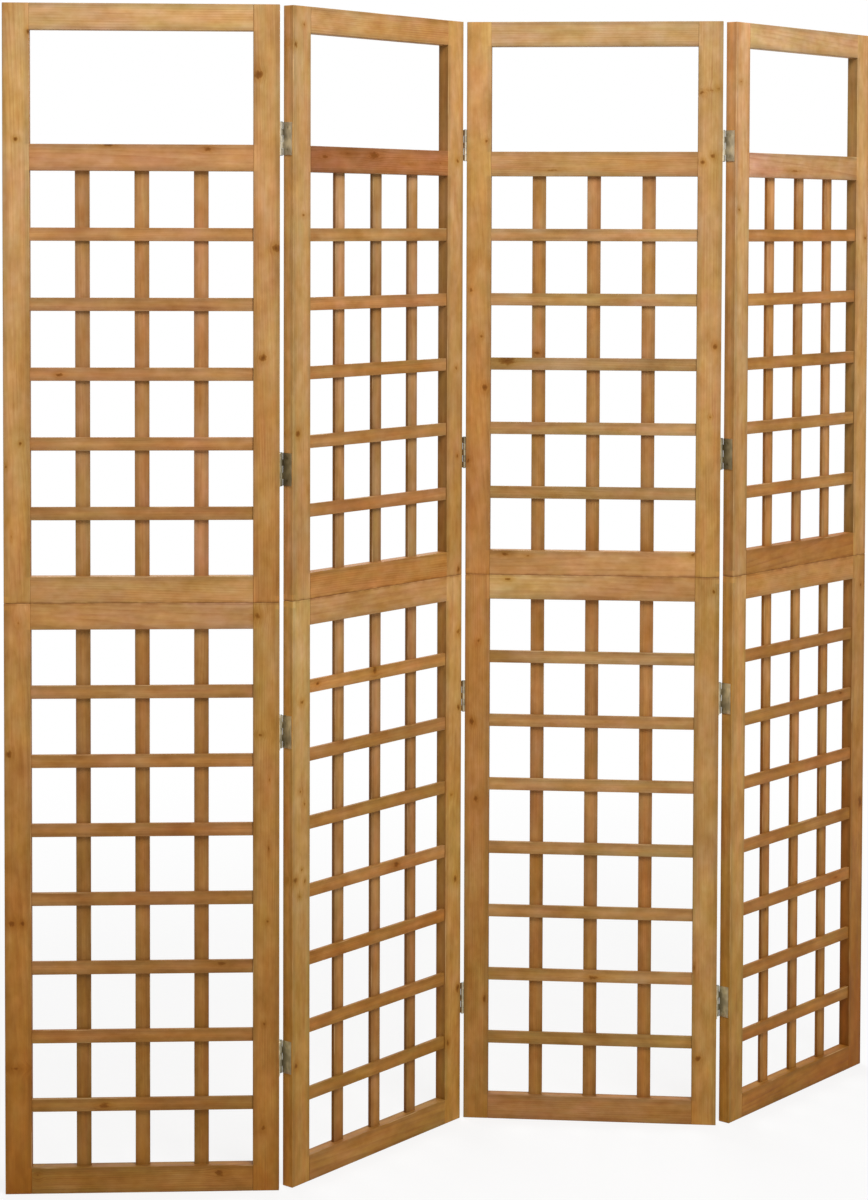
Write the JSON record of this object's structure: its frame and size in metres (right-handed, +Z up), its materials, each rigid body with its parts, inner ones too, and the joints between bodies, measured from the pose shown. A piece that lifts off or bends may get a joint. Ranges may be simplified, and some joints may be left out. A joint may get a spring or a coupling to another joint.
{
  "type": "folding trellis screen",
  "caption": "Free-standing zigzag room divider of hinged wooden panels, each a mortised frame around a square lattice of slats with an open window at the top.",
  "frame": {"origin": "bottom centre of the bounding box of the standing zigzag, on the floor", "axes": "+Z up; +X along the row of panels from its first outer edge to its last; the fronts, where the cross slats lie over the uprights, face -Y"},
  "size_m": [1.5404, 0.2236, 1.8],
  "materials": {
    "stiles": "honey-stained softwood with open grain and knots, satin",
    "rails": "honey-stained softwood with open grain, satin",
    "upright_slats": "honey-stained softwood, darker, satin",
    "cross_slats": "honey-stained softwood, satin",
    "dowels": "bare beech",
    "hinge_leaves": "zinc-plated pressed steel, dull",
    "hinge_pins": "zinc-plated wire, dull",
    "screws": "zinc-plated, countersunk cross-head"
  },
  "bodies": {
    "panel_1": {"upper_left_stile_1": "stiles", "upper_right_stile_1": "stiles", "lower_left_stile_1": "stiles", "lower_right_stile_1": "stiles", "top_rail_1": "rails", "window_rail_1": "rails", "seam_rail_upper_1": "rails", "seam_rail_lower_1": "rails", "bottom_rail_1": "rails", "upright_slats_1": "upright_slats", "cross_slats_1": "cross_slats", "seam_dowels_1": "dowels", "hinge_leaves_1": "hinge_leaves", "hinge_screws_1": "screws", "hinge_pins_12": "hinge_pins"},
    "panel_2": {"upper_left_stile_2": "stiles", "upper_right_stile_2": "stiles", "lower_left_stile_2": "stiles", "lower_right_stile_2": "stiles", "top_rail_2": "rails", "window_rail_2": "rails", "seam_rail_upper_2": "rails", "seam_rail_lower_2": "rails", "bottom_rail_2": "rails", "upright_slats_2": "upright_slats", "cross_slats_2": "cross_slats", "seam_dowels_2": "dowels", "hinge_leaves_2": "hinge_leaves", "hinge_screws_2": "screws", "hinge_pins_23": "hinge_pins"},
    "panel_3": {"upper_left_stile_3": "stiles", "upper_right_stile_3": "stiles", "lower_left_stile_3": "stiles", "lower_right_stile_3": "stiles", "top_rail_3": "rails", "window_rail_3": "rails", "seam_rail_upper_3": "rails", "seam_rail_lower_3": "rails", "bottom_rail_3": "rails", "upright_slats_3": "upright_slats", "cross_slats_3": "cross_slats", "seam_dowels_3": "dowels", "hinge_leaves_3": "hinge_leaves", "hinge_screws_3": "screws", "hinge_pins_34": "hinge_pins"},
    "panel_4": {"upper_left_stile_4": "stiles", "upper_right_stile_4": "stiles", "lower_left_stile_4": "stiles", "lower_right_stile_4": "stiles", "top_rail_4": "rails", "window_rail_4": "rails", "seam_rail_upper_4": "rails", "seam_rail_lower_4": "rails", "bottom_rail_4": "rails", "upright_slats_4": "upright_slats", "cross_slats_4": "cross_slats", "seam_dowels_4": "dowels", "hinge_leaves_4": "hinge_leaves", "hinge_screws_4": "screws"}
  },
  "joints": [
    {"name": "hinge_line_12", "type": "hinge", "parent": "panel_1", "child": "panel_2", "pos_m": [-0.37625, -0.07085, 0.9], "axis": [0, 0, 1], "range_deg": [-48.4, 131.6]},
    {"name": "hinge_line_23", "type": "hinge", "parent": "panel_2", "child": "panel_3", "pos_m": [0.00911, 0.09298, 0.9], "axis": [0, 0, 1], "range_deg": [-123.8, 56.2]},
    {"name": "hinge_line_34", "type": "hinge", "parent": "panel_3", "child": "panel_4", "pos_m": [0.38444, -0.0927, 0.9], "axis": [0, 0, 1], "range_deg": [-54.9, 125.1]}
  ]
}
